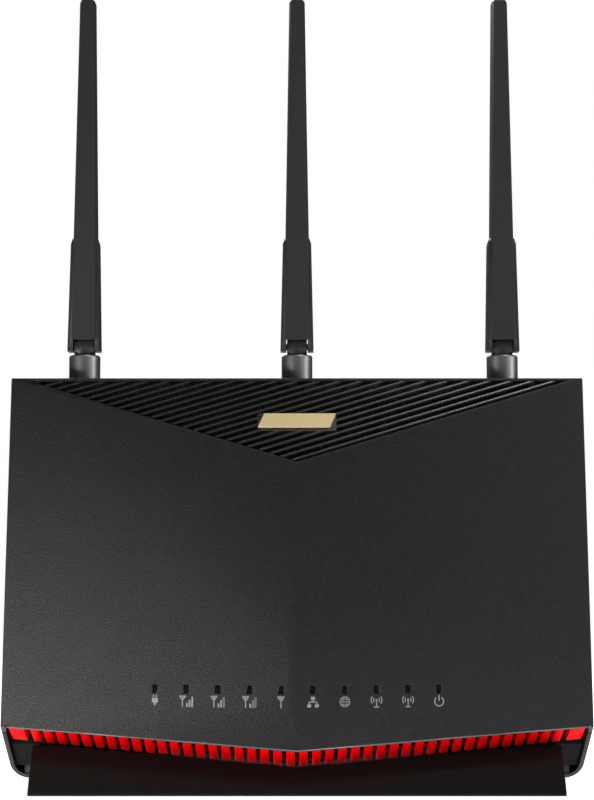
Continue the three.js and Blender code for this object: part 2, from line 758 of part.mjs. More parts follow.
// One level of a tapering bar with a narrow front face and bevelled front edges.
function bladeLevel(x, z, faceHalf, half, front, shoulder, rear, rearHalf) {
  return [
    [x - faceHalf, ANTENNA_Y + front, z],
    [x + faceHalf, ANTENNA_Y + front, z],
    [x - half, ANTENNA_Y + shoulder, z],
    [x + half, ANTENNA_Y + shoulder, z],
    [x - half, ANTENNA_Y + rear - 1.4, z],
    [x + half, ANTENNA_Y + rear - 1.4, z],
    [x - rearHalf, ANTENNA_Y + rear, z],
    [x + rearHalf, ANTENNA_Y + rear, z],
  ];
}

function makeBlade(x) {
  const core = hull([
    ...bladeLevel(x, PIVOT_Z + 2.5, 4.6, 5.2, -5.9, -3.4, BLADE_REAR, 3.6),
    ...bladeLevel(x, TIP_Z - 1, 2.32, 3.1, -4.9, -2.6, BLADE_REAR - 0.3, 1.9),
    ...bladeLevel(x, TIP_Z, 1.9, 2.6, -4.4, -2.4, BLADE_REAR - 0.7, 1.5),
  ]);
  const rib = hull([
    ...bladeLevel(x, PIVOT_Z + 2.5, 4.6, 4.6, -6.25, -5, 2, 3),
    ...bladeLevel(x, TIP_Z - 1, 2.32, 2.32, -5.25, -4, 2, 1.6),
    ...bladeLevel(x, TIP_Z - 0.3, 2.1, 2.1, -4.8, -4, 2, 1.4),
  ]);
  const yoke = hull([
    ...bladeLevel(x, PIVOT_Z - 2, 6, 6.5, -4.9, -3.8, BLADE_REAR, 5),
    ...bladeLevel(x, 209.5, 5.1, 5.6, -4.5, -3.5, BLADE_REAR, 4),
    ...bladeLevel(x, 211.8, 4.4, 4.9, -4.1, -3.2, BLADE_REAR - 0.1, 3.6),
  ]);
  const slot = [
    block(x - 4.2, x + 4.2, ANTENNA_Y - 4.1, ANTENNA_Y + 12, PIVOT_Z - 10, PIVOT_Z + 4.2),
    block(x - 4.2, x + 4.2, ANTENNA_Y - 12, ANTENNA_Y + 12, PIVOT_Z - 10, PIVOT_Z + 2.5),
  ];
  const heel = sideProfile(
    [
      [ANTENNA_Y + BLADE_REAR + 1, PIVOT_Z - 0.6],
      [ANTENNA_Y + BLADE_REAR, PIVOT_Z - 0.6],
      [ANTENNA_Y + 2, PIVOT_Z - 2.2],
      [ANTENNA_Y + 2, PIVOT_Z - 6],
      [ANTENNA_Y + BLADE_REAR + 1, PIVOT_Z - 6],
    ],
    x - 10,
    x + 10,
  );
  return cut(join([core, rib, yoke]), [
    ...slot,
    heel,
    rodX(x - 10, x + 10, ANTENNA_Y, PIVOT_Z, 1.42, 16),
  ]);
}

// ---------------------------------------------------------------- assembly

const group = new THREE.Group();

function addPart(name, body, look) {
  const { vertProperties, triVerts } = body.getMesh();
  const geometry = new THREE.BufferGeometry();
  geometry.setAttribute("position", new THREE.BufferAttribute(new Float32Array(vertProperties), 3));
  geometry.setIndex(new THREE.BufferAttribute(new Uint32Array(triVerts), 1));
  geometry.computeVertexNormals();
  const mesh = new THREE.Mesh(geometry, new THREE.MeshStandardMaterial(look));
  mesh.name = name;
  group.add(mesh);
}

const shellBlack = { color: 0x1b1b1c, roughness: 0.55, metalness: 0 };
const innerBlack = { color: 0x111112, roughness: 0.7, metalness: 0 };
const redPlastic = { color: 0xc00408, roughness: 0.5, metalness: 0 };
const goldMetal = { color: 0xd3ad62, roughness: 0.3, metalness: 1 };
const rubberGrey = { color: 0x2a2a2a, roughness: 0.9, metalness: 0 };
const clearPlastic = { color: 0xd9dde0, roughness: 0.25, metalness: 0 };
const boardGreen = { color: 0x14402a, roughness: 0.6, metalness: 0 };
const tinned = { color: 0xb8babc, roughness: 0.35, metalness: 1 };
const finAluminium = { color: 0xa9abad, roughness: 0.4, metalness: 1 };
const socketBlue = { color: 0x1d4f9e, roughness: 0.5, metalness: 0 };
const socketBlack = { color: 0x161616, roughness: 0.5, metalness: 0 };
const collarSatin = { color: 0x4a4a4b, roughness: 0.35, metalness: 0.6 };
const goldContact = { color: 0xcaa04a, roughness: 0.3, metalness: 1 };
const steel = { color: 0x8f9193, roughness: 0.35, metalness: 1 };
const cableBlack = { color: 0x1c1c1c, roughness: 0.6, metalness: 0 };

addPart("front_cover", makeFrontCover(), shellBlack);
addPart("grille_panel", makeGrillePanel(), shellBlack);
addPart("front_badge", makeBadge(), goldMetal);
addPart("red_vent_comb", makeComb(), redPlastic);
addPart("intake_tray", makeIntakeTray(), innerBlack);
addPart("rear_cover", makeRearCover(), shellBlack);
addPart("port_plate", makePortPlate(), shellBlack);
addPart("stand", makeStand(), shellBlack);
addPart("foot_front_left", makeFoot(-FOOT_PLACES.x, FOOT_PLACES.front), rubberGrey);
addPart("foot_front_right", makeFoot(FOOT_PLACES.x, FOOT_PLACES.front), rubberGrey);
addPart("foot_rear_left", makeFoot(-FOOT_PLACES.x, FOOT_PLACES.rear), rubberGrey);
addPart("foot_rear_right", makeFoot(FOOT_PLACES.x, FOOT_PLACES.rear), rubberGrey);
addPart("skirt_pad_left", makeSkirtPad(-1), rubberGrey);
addPart("skirt_pad_right", makeSkirtPad(1), rubberGrey);
addPart("light_guide_left", makeLightGuide(-1), clearPlastic);
addPart("light_guide_right", makeLightGuide(1), clearPlastic);
addPart("main_board", makeBoard(), boardGreen);
addPart("heatsink", makeHeatsink(), finAluminium);
addPart("shield_5ghz_radio", makeShield(50, 86, 46, 80), tinned);
addPart("shield_2ghz_radio", makeShield(50, 86, 86, 116), tinned);
addPart("cellular_modem", makeModem(), tinned);
addPart("sim_socket", makeSimSocket(), tinned);
for (const [name, x] of Object.entries(NETWORK_PLACES)) {
  addPart(name, makeNetworkJack(x), name === "wan_jack" ? socketBlue : socketBlack);
}
addPart("usb_port", makeUsbPort(), tinned);
addPart("dc_jack", makeDcJack(), socketBlack);
addPart("power_button", makeButton(PLACE.power, 4.5, 17.2, 5.8, 32), socketBlack);
addPart("power_switch", makeSwitch(PLACE.power, 4.5, 14.6), socketBlack);
addPart("wps_button", makeButton(PLACE.wps, 2.5, 16.4, 3.4, 30.6), socketBlack);
addPart("wps_switch", makeSwitch(PLACE.wps, 3, 15), tinned);
addPart("wifi_button", makeButton(PLACE.wifi, 2.5, 16.4, 3.4, 30.6), socketBlack);
addPart("wifi_switch", makeSwitch(PLACE.wifi, 3, 15), tinned);
addPart("reset_button", makeButton(PLACE.reset, 1.2, 16, 2.2, 28.2), redPlastic);
addPart("reset_switch", makeSwitch(PLACE.reset, 2.4, 14.8), tinned);
screwPlaces.forEach((place, i) => addPart("housing_screw_" + (i + 1), makeHousingScrew(place), steel));
for (const [side, x] of Object.entries(ANTENNA_PLACES)) {
  addPart("connector_" + side, makeConnector(x), goldContact);
  addPart("pigtail_" + side, makePigtail(x), cableBlack);
  addPart("antenna_" + side + "_collar", makeCollar(x), collarSatin);
  addPart("antenna_" + side + "_neck", makeNeck(x), shellBlack);
  addPart("antenna_" + side + "_pin", makePin(x), steel);
  addPart("antenna_" + side + "_blade", makeBlade(x), shellBlack);
}

export default group;
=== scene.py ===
"""Upright wireless router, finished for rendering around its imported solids.

Metres, +Z up, front towards -Y. The housing, sockets and antennas keep the shapes of the frame and
get rounded moulding edges; slats, fins and contacts are grown by geometry nodes.
"""

import json
import math

import bmesh
import bpy
from mathutils import Matrix, Vector


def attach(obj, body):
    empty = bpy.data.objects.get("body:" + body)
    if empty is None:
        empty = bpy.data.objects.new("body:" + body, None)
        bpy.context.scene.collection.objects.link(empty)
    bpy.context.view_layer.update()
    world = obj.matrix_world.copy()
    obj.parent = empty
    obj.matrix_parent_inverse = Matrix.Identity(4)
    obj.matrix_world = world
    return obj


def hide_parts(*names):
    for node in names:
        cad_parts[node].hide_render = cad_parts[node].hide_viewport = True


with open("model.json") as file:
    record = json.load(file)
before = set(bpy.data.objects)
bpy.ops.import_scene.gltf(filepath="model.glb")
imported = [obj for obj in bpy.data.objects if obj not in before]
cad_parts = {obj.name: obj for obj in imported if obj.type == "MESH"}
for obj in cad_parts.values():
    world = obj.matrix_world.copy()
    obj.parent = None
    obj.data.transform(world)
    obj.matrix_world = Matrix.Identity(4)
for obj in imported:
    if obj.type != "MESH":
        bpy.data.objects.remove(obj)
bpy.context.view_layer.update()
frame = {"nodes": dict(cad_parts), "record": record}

MM = 0.001
scene = bpy.context.scene

# ------------------------------------------------------------------ shader expressions


class Value:
    """A socket of a shader tree that can be used in plain arithmetic."""

    def __init__(self, tree, socket):
        self.tree = tree
        self.socket = socket

    def _maths(self, operation, first, second=None):
        node = self.tree.nodes.new("ShaderNodeMath")
        node.operation = operation
        for place, term in enumerate((first, second)):
            if isinstance(term, Value):
                self.tree.links.new(term.socket, node.inputs[place])
            elif term is not None:
                node.inputs[place].default_value = term
        return Value(self.tree, node.outputs[0])

    def __add__(self, other):
        return self._maths("ADD", self, other)

    def __radd__(self, other):
        return self._maths("ADD", other, self)

    def __sub__(self, other):
        return self._maths("SUBTRACT", self, other)

    def __rsub__(self, other):
        return self._maths("SUBTRACT", other, self)

    def __mul__(self, other):
        return self._maths("MULTIPLY", self, other)

    def __rmul__(self, other):
        return self._maths("MULTIPLY", other, self)

    def __truediv__(self, other):
        return self._maths("DIVIDE", self, other)

    def __rtruediv__(self, other):
        return self._maths("DIVIDE", other, self)

    def __pow__(self, other):
        return self._maths("POWER", self, other)

    def clamped(self):
        return self._maths("MINIMUM", self._maths("MAXIMUM", self, 0.0), 1.0)


class Graph:
    """A node tree and the one way in which nodes are put into it."""

    def __init__(self, tree):
        self.tree = tree

    def add(self, kind, settings=None, inputs=None, out=0):
        """One node: its settings first, then the values or links of its sockets."""
        node = self.tree.nodes.new(kind)
        for key, value in (settings or {}).items():
            setattr(node, key, value)
        for key, value in (inputs or {}).items():
            self.feed(node.inputs[key], value)
        return Value(self.tree, node.outputs[out])

    def feed(self, socket, value):
        if isinstance(value, Value):
            self.tree.links.new(value.socket, socket)
        else:
            socket.default_value = value


class Finish(Graph):
    """A procedural material: a principled surface and the nodes that feed it."""

    def __init__(self, name):
        self.material = bpy.data.materials.new(name)
        self.material.use_nodes = True
        super().__init__(self.material.node_tree)
        self.tree.nodes.clear()
        self.surface = self.tree.nodes.new("ShaderNodeBsdfPrincipled")
        output = self.tree.nodes.new("ShaderNodeOutputMaterial")
        self.tree.links.new(self.surface.outputs["BSDF"], output.inputs["Surface"])
        self.place = self.add("ShaderNodeTexCoord", out="Object")

    def set(self, **values):
        """Feeds the principled surface; underscores in a name stand for spaces."""
        for key, value in values.items():
            self.feed(self.surface.inputs[key.replace("_", " ")], value)

    def noise(self, scale, detail=2.0, roughness=0.5, stretch=None):
        vector = self.place
        if stretch:
            vector = self.add("ShaderNodeMapping", inputs={"Vector": self.place, "Scale": stretch})
        inputs = {"Vector": vector, "Scale": scale, "Detail": detail, "Roughness": roughness}
        return self.add("ShaderNodeTexNoise", inputs=inputs, out="Fac")

    def blend(self, factor, first, second):
        """A colour between two others."""
        node = self.tree.nodes.new("ShaderNodeMix")
        node.data_type = "RGBA"
        colours = [socket for socket in node.inputs if socket.type == "RGBA"]
        self.feed(node.inputs["Factor"], factor)
        self.feed(colours[0], first)
        self.feed(colours[1], second)
        return Value(self.tree, [socket for socket in node.outputs if socket.type == "RGBA"][0])

    def bump(self, height, strength, distance):
        inputs = {"Height": height, "Strength": strength, "Distance": distance}
        self.set(Normal=self.add("ShaderNodeBump", inputs=inputs))


def rgb(red, green, blue):
    return (red, green, blue, 1.0)


def grey(level):
    return rgb(level, level, level)


GRAIN = 2300.0
GRAIN_DEPTH = 0.00030
SATIN_RELIEF = 0.15
SATIN_DEPTH = 0.00003


def spark_eroded_plastic(
    name, colour, speck, rough, grain=GRAIN, relief=0.9, depth=GRAIN_DEPTH, shine=0.5
):
    """Moulded plastic with the fine even grain of a spark-eroded tool."""
    finish = Finish(name)
    fine = finish.noise(grain, 2.5, 0.65)
    coarse = finish.noise(grain * 0.8, 1.0, 0.5)
    cloud = finish.noise(18.0, 3.0, 0.55)
    grains = (fine * 3.0 - 1.0).clamped()
    finish.set(
        Base_Color=finish.blend(grains, colour, speck),
        Roughness=(rough + (cloud - 0.5) * 0.08 + (coarse - 0.5) * 0.22).clamped(),
    )
    finish.set(Specular_IOR_Level=shine)
    finish.bump(fine * 0.8 + coarse * 0.2, relief, depth)
    return finish.material


def satin_metal(name, colour, dark, rough, stretch, grain=900.0, metallic=1.0):
    """Turned or brushed metal, its lines drawn out along one direction."""
    finish = Finish(name)
    lines = finish.noise(grain, 3.0, 0.6, stretch)
    cloud = finish.noise(60.0, 2.0, 0.5)
    finish.set(
        Base_Color=finish.blend((lines * 1.4 - 0.2).clamped(), colour, dark),
        Roughness=(rough + (lines - 0.5) * 0.25 + (cloud - 0.5) * 0.1).clamped(),
    )
    finish.set(Metallic=metallic)
    finish.bump(lines, SATIN_RELIEF, SATIN_DEPTH)
    return finish.material


SHELL_BLACK = spark_eroded_plastic(
    "shell_black", grey(0.0005), grey(0.016), 0.38, 2100.0, 0.9, 0.00030
)
REAR_BLACK = spark_eroded_plastic(
    "rear_black", grey(0.002), grey(0.014), 0.5, 2000.0, 0.5, 0.0002, 0.25
)
SLAT_BLACK = spark_eroded_plastic(
    "slat_black", grey(0.008), grey(0.028), 0.24, 2300.0, 0.2, 0.0001, 1.0
)
BLADE_BLACK = spark_eroded_plastic(
    "antenna_black", grey(0.028), grey(0.048), 0.42, 2000.0, 0.2, 0.00005, 0.6
)
INNER_BLACK = spark_eroded_plastic(
    "inner_black", grey(0.003), grey(0.006), 0.8, 1500.0, 0.3, 0.0001, 0.15
)
STAND_BLACK = spark_eroded_plastic(
    "stand_black", rgb(0.005, 0.006, 0.006), rgb(0.014, 0.017, 0.017), 0.72, 2000.0, 0.5, 0.0001, 0.12
)
SOCKET_BLACK = spark_eroded_plastic("socket_black", grey(0.006), grey(0.012), 0.4)
SOCKET_BLUE = spark_eroded_plastic("socket_blue", rgb(0.010, 0.075, 0.32), rgb(0.016, 0.10, 0.38), 0.4)
COMB_RED = spark_eroded_plastic(
    "comb_red", rgb(0.94, 0.0004, 0.0008), rgb(1.0, 0.0006, 0.001), 0.6, 2400.0, 0.12, 0.0001, 0.05
)
# A darker red than the fins: painted shade for the bars that sit in the fins' shade.
COMB_PAINTED_SHADE = spark_eroded_plastic(
    "comb_painted_shade", rgb(0.10, 0.0004, 0.0006), rgb(0.14, 0.0006, 0.0008), 0.7, 2400.0, 0.12, 0.0001, 0.05
)
RUBBER_GREY = spark_eroded_plastic("rubber_grey", grey(0.05), grey(0.08), 0.85, 1500.0, 0.5)
GUIDE_SMOKE = spark_eroded_plastic("guide_smoke", grey(0.006), grey(0.010), 0.15, 900.0, 0.05)
CABLE_BLACK = spark_eroded_plastic("cable_black", grey(0.010), grey(0.016), 0.5)
BADGE_GOLD = satin_metal(
    "badge_gold", rgb(1.0, 0.80, 0.44), rgb(0.94, 0.72, 0.36), 0.34, (1.0, 14.0, 14.0), 1400.0, 0.12
)
COLLAR_SATIN = satin_metal(
    "collar_satin", grey(0.52), grey(0.28), 0.40, (1.0, 1.0, 1.0), 2600.0, 0.9
)
TINNED_STEEL = satin_metal(
    "tinned_steel", rgb(0.62, 0.63, 0.64), rgb(0.48, 0.49, 0.50), 0.3, (1.0, 1.0, 10.0)
)
FIN_ALUMINIUM = satin_metal(
    "fin_aluminium", rgb(0.66, 0.67, 0.68), rgb(0.52, 0.53, 0.54), 0.38, (10.0, 1.0, 1.0)
)
SCREW_STEEL = satin_metal("screw_steel", rgb(0.20, 0.20, 0.21), rgb(0.12, 0.12, 0.13), 0.35, (1.0, 1.0, 1.0))
CONTACT_GOLD = satin_metal(
    "contact_gold", rgb(0.80, 0.56, 0.20), rgb(0.62, 0.42, 0.14), 0.25, (1.0, 1.0, 6.0)
)
# A grey far lighter than the shell: a painted highlight for the lower edge of the facets.
EDGE_PAINTED_HIGHLIGHT = spark_eroded_plastic("edge_painted_highlight", grey(0.10), grey(0.16), 0.22, 2000.0, 0.1, 0.00002, 1.0)
PRINT_GREY = spark_eroded_plastic("print_grey", grey(0.26), grey(0.38), 0.6, 2600.0, 0.1)


def board_finish():
    """Solder resist with faint copper tracks showing through."""
    finish = Finish("board_green")
    weave = finish.noise(900.0, 2.0, 0.5)
    upright = finish.add(
        "ShaderNodeMapping", inputs={"Vector": finish.place, "Rotation": (math.pi / 2, 0, 0)}
    )
    tracks = finish.add(
        "ShaderNodeTexBrick",
        {"offset": 0.35, "squash": 1.0},
        {
            "Vector": upright,
            "Scale": 260.0,
            "Color1": rgb(0.004, 0.035, 0.012),
            "Color2": rgb(0.006, 0.05, 0.018),
            "Mortar": rgb(0.02, 0.11, 0.045),
            "Mortar Size": 0.03,
        },
        out="Color",
    )
    finish.set(Base_Color=tracks, Roughness=(0.38 + (weave - 0.5) * 0.2).clamped())
    finish.bump(weave, 0.15, 0.00004)
    return finish.material


BOARD_GREEN = board_finish()

# ------------------------------------------------------------------ mesh helpers


def new_piece(name, mesh, material, body, node=None, slot=None):
    """Puts a finished mesh into the scene, on its body, in place of a node of the frame."""
    mesh.name = name
    mesh.materials.clear()
    mesh.materials.append(material)
    piece = bpy.data.objects.new(name, mesh)
    scene.collection.objects.link(piece)
    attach(piece, body)
    if node:
        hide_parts(node)
    return piece


def body_of_node(node):
    return next(b for b, members in frame["record"]["behaviour"]["bodies"].items() if node in members)


def slot_of_node(node):
    return next(s["material_slot"] for s in frame["record"]["subparts"] if s["node"] == node)


def even_normals(piece):
    normals = piece.modifiers.new("even_normals", "WEIGHTED_NORMAL")
    normals.weight = 60
    normals.keep_sharp = False


MERGE_REACH = 2e-6
FLAT_ENOUGH = math.radians(1.0)


def moulded(node, width, material, segments=2, sharp=32.0, shortest=2.2):
    """The shape of a node with its edges rounded, standing in for the node.

    Edges that bend less than the sharp angle, or are short beside the rounding, stay as they are.
    """
    mesh = bpy.data.meshes.new(node + "_finished")
    form = bmesh.new()
    form.from_mesh(frame["nodes"][node].data)
    bmesh.ops.remove_doubles(form, verts=form.verts, dist=MERGE_REACH)
    bmesh.ops.dissolve_limit(
        form, angle_limit=FLAT_ENOUGH, verts=form.verts, edges=form.edges, use_dissolve_boundaries=False
    )
    limit = math.radians(sharp)
    edges = [
        edge
        for edge in form.edges
        if len(edge.link_faces) == 2
        and edge.calc_face_angle(0.0) > limit
        and edge.calc_length() > shortest * width
    ]
    bmesh.ops.bevel(
        form,
        geom=edges,
        offset=width,
        offset_type="OFFSET",
        segments=segments,
        profile=0.5,
        affect="EDGES",
        clamp_overlap=False,
        miter_outer="SHARP",
    )
    for face in form.faces:
        face.smooth = True
    form.to_mesh(mesh)
    form.free()
    piece = new_piece(node + "_finished", mesh, material, body_of_node(node), node, slot_of_node(node))
    even_normals(piece)


# ------------------------------------------------------------------ rows of copies


def row_tree(name, clipped=False):
    """Copies of one shape in a straight row, each longer or shorter than the last by a set share.

    A clipped row is cut to the inside of a window shape.
    """
    tree = bpy.data.node_groups.new(name, "GeometryNodeTree")
    graph = Graph(tree)
    kinds = {
        "Base": "Geometry",
        "Shape": "Object",
        "Window": "Object",
        "Count": "Int",
        "First": "Vector",
        "Step": "Vector",
        "Growth": "Vector",
        "Tilt": "Float",
        "Seed": "Int",
        "Finish": "Material",
    }
    for label, kind in kinds.items():
        tree.interface.new_socket(name=label, in_out="INPUT", socket_type="NodeSocket" + kind)
    tree.interface.new_socket(name="Geometry", in_out="OUTPUT", socket_type="NodeSocketGeometry")
    group_input = tree.nodes.new("NodeGroupInput")
    given = {label: Value(tree, group_input.outputs[label]) for label in kinds}

    def vector_maths(operation, **inputs):
        named = {"Vector" if key == "first" else key.capitalize(): value for key, value in inputs.items()}
        return graph.add("ShaderNodeVectorMath", {"operation": operation}, named)

    line = graph.add(
        "GeometryNodeMeshLine",
        {"mode": "OFFSET"},
        {"Count": given["Count"], "Start Location": given["First"], "Offset": given["Step"]},
    )
    index = graph.add("GeometryNodeInputIndex")
    growth = vector_maths("SCALE", first=given["Growth"], scale=index)
    size = graph.add("ShaderNodeVectorMath", {"operation": "ADD"}, {0: growth, 1: (1.0, 1.0, 1.0)})
    chance = graph.add(
        "FunctionNodeRandomValue",
        {"data_type": "FLOAT_VECTOR"},
        {"Min": (-1.0, -1.0, -1.0), "Max": (1.0, 1.0, 1.0), "Seed": given["Seed"]},
    )
    tilt = vector_maths("SCALE", first=chance, scale=given["Tilt"])
    shape = graph.add("GeometryNodeObjectInfo", inputs={"Object": given["Shape"]}, out="Geometry")
    copies = graph.add(
        "GeometryNodeInstanceOnPoints",
        inputs={"Points": line, "Instance": shape, "Rotation": tilt, "Scale": size},
    )
    solid = graph.add("GeometryNodeRealizeInstances", inputs={"Geometry": copies})
    if clipped:
        window = graph.add("GeometryNodeObjectInfo", inputs={"Object": given["Window"]}, out="Geometry")
        cutter = tree.nodes.new("GeometryNodeMeshBoolean")
        cutter.operation = "INTERSECT"
        tree.links.new(solid.socket, cutter.inputs["Mesh 2"])
        tree.links.new(window.socket, cutter.inputs["Mesh 2"])
        solid = Value(tree, cutter.outputs["Mesh"])
    joined = tree.nodes.new("GeometryNodeJoinGeometry")
    tree.links.new(solid.socket, joined.inputs["Geometry"])
    tree.links.new(given["Base"].socket, joined.inputs["Geometry"])
    whole = graph.add("GeometryNodeRealizeInstances", inputs={"Geometry": Value(tree, joined.outputs[0])})
    finished = graph.add("GeometryNodeSetMaterial", inputs={"Geometry": whole, "Material": given["Finish"]})
    result = tree.nodes.new("NodeGroupOutput")
    tree.links.new(finished.socket, result.inputs["Geometry"])
    return tree


def holder(name, mesh):
    thing = bpy.data.objects.new(name, mesh)
    scene.collection.objects.link(thing)
    return thing


def grown(tree, base, shape, window=None, **settings):
    """The mesh that a row tree makes around a base mesh."""
    seed = holder("row_base", base)
    helpers = {"Shape": holder("row_shape", shape)}
    if window:
        helpers["Window"] = holder("row_window", window)
    modifier = seed.modifiers.new("grow", "NODES")
    modifier.node_group = tree
    chosen = {key.capitalize(): value for key, value in settings.items()} | helpers
    for item in tree.interface.items_tree:
        if item.name in chosen:
            modifier[item.identifier] = chosen[item.name]
    depsgraph = bpy.context.evaluated_depsgraph_get()
    mesh = bpy.data.meshes.new_from_object(seed.evaluated_get(depsgraph))
    for thing in [seed, *helpers.values()]:
        bpy.data.objects.remove(thing)
    mesh.polygons.foreach_set("material_index", [0] * len(mesh.polygons))
    return mesh


def joined_mesh(name, meshes):
    form = bmesh.new()
    for mesh in meshes:
        form.from_mesh(mesh)
    whole = bpy.data.meshes.new(name)
    form.to_mesh(whole)
    form.free()
    return whole


def hull_mesh(points, width=0.0, segments=2):
    """A convex block around some points, with rounded edges where a width is given."""
    form = bmesh.new()
    for point in points:
        form.verts.new(point)
    bmesh.ops.convex_hull(form, input=form.verts)
    bmesh.ops.dissolve_limit(form, angle_limit=0.01, verts=form.verts, edges=form.edges)
    if width:
        bmesh.ops.bevel(
            form, geom=form.edges[:], offset=width, segments=segments, profile=0.5, affect="EDGES"
        )
    bmesh.ops.recalc_face_normals(form, faces=form.faces)
    for face in form.faces:
        face.smooth = bool(width)
    mesh = bpy.data.meshes.new("block")
    form.to_mesh(mesh)
    form.free()
    return mesh


def box_points(low, high):
    return [(x, y, z) for x in (low[0], high[0]) for y in (low[1], high[1]) for z in (low[2], high[2])]


def prism_mesh(outline, low, high, axis="z"):
    """An outline drawn along one axis, x or z, from one level to another."""
    form = bmesh.new()
    ends = []
    for level in (low, high):
        if axis == "z":
            ends.append([form.verts.new((a, b, level)) for a, b in outline])
        else:
            ends.append([form.verts.new((level, a, b)) for a, b in outline])
    count = len(outline)
    form.faces.new(ends[0][::-1])
    form.faces.new(ends[1])
    for i in range(count):
        j = (i + 1) % count
        form.faces.new((ends[0][i], ends[0][j], ends[1][j], ends[1][i]))
    bmesh.ops.recalc_face_normals(form, faces=form.faces)
    mesh = bpy.data.meshes.new("prism")
    form.to_mesh(mesh)
    form.free()
    return mesh


PLAIN_ROW = row_tree("row_of_copies")
CLIPPED_ROW = row_tree("row_inside_a_window", clipped=True)

# ------------------------------------------------------------------ shape of the front

HALF_WIDTH = 110.0 * MM
RIDGE_LOW = Vector((0.0, -41.5, 16.3)) * MM
CORNER_LOW = Vector((110.0, -22.5, 23.75)) * MM
RIDGE_TOP = Vector((0.0, -29.02, 121.0)) * MM
CORNER_TOP = Vector((110.0, -6.8, 155.4)) * MM


def on_facet(x, z, raised=0.0):
    """A point of the two front facets, lifted off them by a little."""
    sideways = (CORNER_LOW - RIDGE_LOW).cross(RIDGE_TOP - RIDGE_LOW)
    depth = sideways.x * abs(x) + sideways.z * (z - RIDGE_LOW.z)
    return Vector((x, RIDGE_LOW.y - depth / sideways.y - raised, z))


# ------------------------------------------------------------------ red cooling fins

VENT_SLOPE = math.radians(22.4)
FIN_PITCH = 4.75 * MM
FIN_WIDTH = 3.15 * MM
FIN_HEIGHTS = (0.3 * MM, 3.2 * MM)
FIN_START = 1.0 * MM
COMB_BAR_START = 2.6 * MM
COMB_BAR_WIDTH = 2.2 * MM
COMB_BAR_HEIGHTS = (2.8 * MM, 5.2 * MM)
# The rear bar: how far before the ends of the fins it starts and stops.
REAR_BAR_START = 3 * MM
REAR_BAR_STOP = 0.6 * MM
REAR_BAR_HEIGHTS = (2.8 * MM, 5.0 * MM)
FIN_END = 19.9 * MM
FIN_SHORTER = 5.0 / 106.0
FINS_PER_SIDE = 21
END_TOOTH = (101.2 * MM, 107.2 * MM)
FIN_ROUND = 0.32 * MM
FIN_JITTER = 0.002
FIN_SEED = 11


def under_point(side, x, back, height):
    """A point of the sloping underside: across, back along the slope and up into the body."""
    edge = RIDGE_LOW.lerp(CORNER_LOW, x / HALF_WIDTH)
    return Vector(
        (
            side * x,
            edge.y + back * math.cos(VENT_SLOPE) + height * math.sin(VENT_SLOPE),
            edge.z - back * math.sin(VENT_SLOPE) + height * math.cos(VENT_SLOPE),
        )
    )


def fin_end(x):
    return FIN_END - FIN_SHORTER * x


def under_block(side, x0, x1, start, end, low, high, width=0.0):
    """A block on the underside; start and end are functions of the distance from the middle."""
    points = [
        under_point(side, x, back(x), height)
        for x in (x0, x1)
        for back in (start, end)
        for height in (low, high)
    ]
    return hull_mesh(points, width)


def fin_start(x):
    return FIN_START


def make_comb():
    """The red fins, and apart from them the bars that tie them together in their shade, coloured a darker
    red as painted shade.
    """
    bars = [
        under_block(
            side,
            0.0,
            END_TOOTH[1],
            lambda x: COMB_BAR_START,
            lambda x: COMB_BAR_START + COMB_BAR_WIDTH,
            *COMB_BAR_HEIGHTS,
        )
        for side in (-1, 1)
    ]
    bars += [
        under_block(
            side,
            0.0,
            END_TOOTH[1],
            lambda x: fin_end(x) - REAR_BAR_START,
            lambda x: fin_end(x) - REAR_BAR_STOP,
            *REAR_BAR_HEIGHTS,
        )
        for side in (-1, 1)
    ]
    rows = [
        under_block(side, *END_TOOTH, fin_start, fin_end, *FIN_HEIGHTS, FIN_ROUND) for side in (-1, 1)
    ]
    for side in (-1, 1):
        middle = 0.5 * FIN_PITCH
        span = (middle - FIN_WIDTH / 2, middle + FIN_WIDTH / 2)
        fin = under_block(side, *span, fin_start, fin_end, *FIN_HEIGHTS, FIN_ROUND)
        origin = under_point(side, middle, FIN_START, FIN_HEIGHTS[0])
        tilt = Matrix.Rotation(VENT_SLOPE, 4, "X")
        fin.transform(tilt @ Matrix.Translation(-origin))
        step = tilt @ (under_point(side, middle + FIN_PITCH, FIN_START, FIN_HEIGHTS[0]) - origin)
        length = fin_end(middle) - FIN_START
        row = grown(
            PLAIN_ROW,
            bpy.data.meshes.new("no_base"),
            fin,
            count=FINS_PER_SIDE,
            first=(0.0, 0.0, 0.0),
            step=step,
            growth=(0.0, -FIN_SHORTER * FIN_PITCH / length, 0.0),
            tilt=FIN_JITTER,
            seed=FIN_SEED + side,
            finish=COMB_RED,
        )
        row.transform(Matrix.Translation(origin) @ tilt.inverted())
        rows.append(row)
    body = body_of_node("red_vent_comb")
    slot = slot_of_node("red_vent_comb")
    new_piece("red_fins", joined_mesh("red_fins", rows), COMB_RED, body, "red_vent_comb", slot)
    # The bars' darker red is painted shade, not a colour of their own.
    new_piece("red_fin_bars", joined_mesh("red_fin_bars", bars), COMB_PAINTED_SHADE, body, "red_vent_comb", slot)


BEAD_RADIUS = 0.30 * MM
BEAD_SUNK = 0.55
BEAD_SIDES = 12
BEAD_REACH = 109.0 * MM


def make_lower_beads():
    """A glossy rounded edge that closes each facet above the fins, coloured a lighter grey than the shell as
    a painted highlight.
    """
    for side, name in ((-1, "edge_bead_left"), (1, "edge_bead_right")):
        points = []
        for x in (0.0, BEAD_REACH):
            z = RIDGE_LOW.lerp(CORNER_LOW, x / HALF_WIDTH).z + BEAD_RADIUS
            centre = on_facet(side * x, z, -BEAD_SUNK * BEAD_RADIUS)
            for i in range(BEAD_SIDES):
                turn = 2 * math.pi * i / BEAD_SIDES
                points.append(centre + BEAD_RADIUS * Vector((0.0, math.cos(turn), math.sin(turn))))
        bead = hull_mesh(points)
        bead.polygons.foreach_set("use_smooth", [True] * len(bead.polygons))
        # The bead's lighter grey is a painted highlight along the edge.
        new_piece(name, bead, EDGE_PAINTED_HIGHLIGHT, "housing")


# ------------------------------------------------------------------ slatted grille

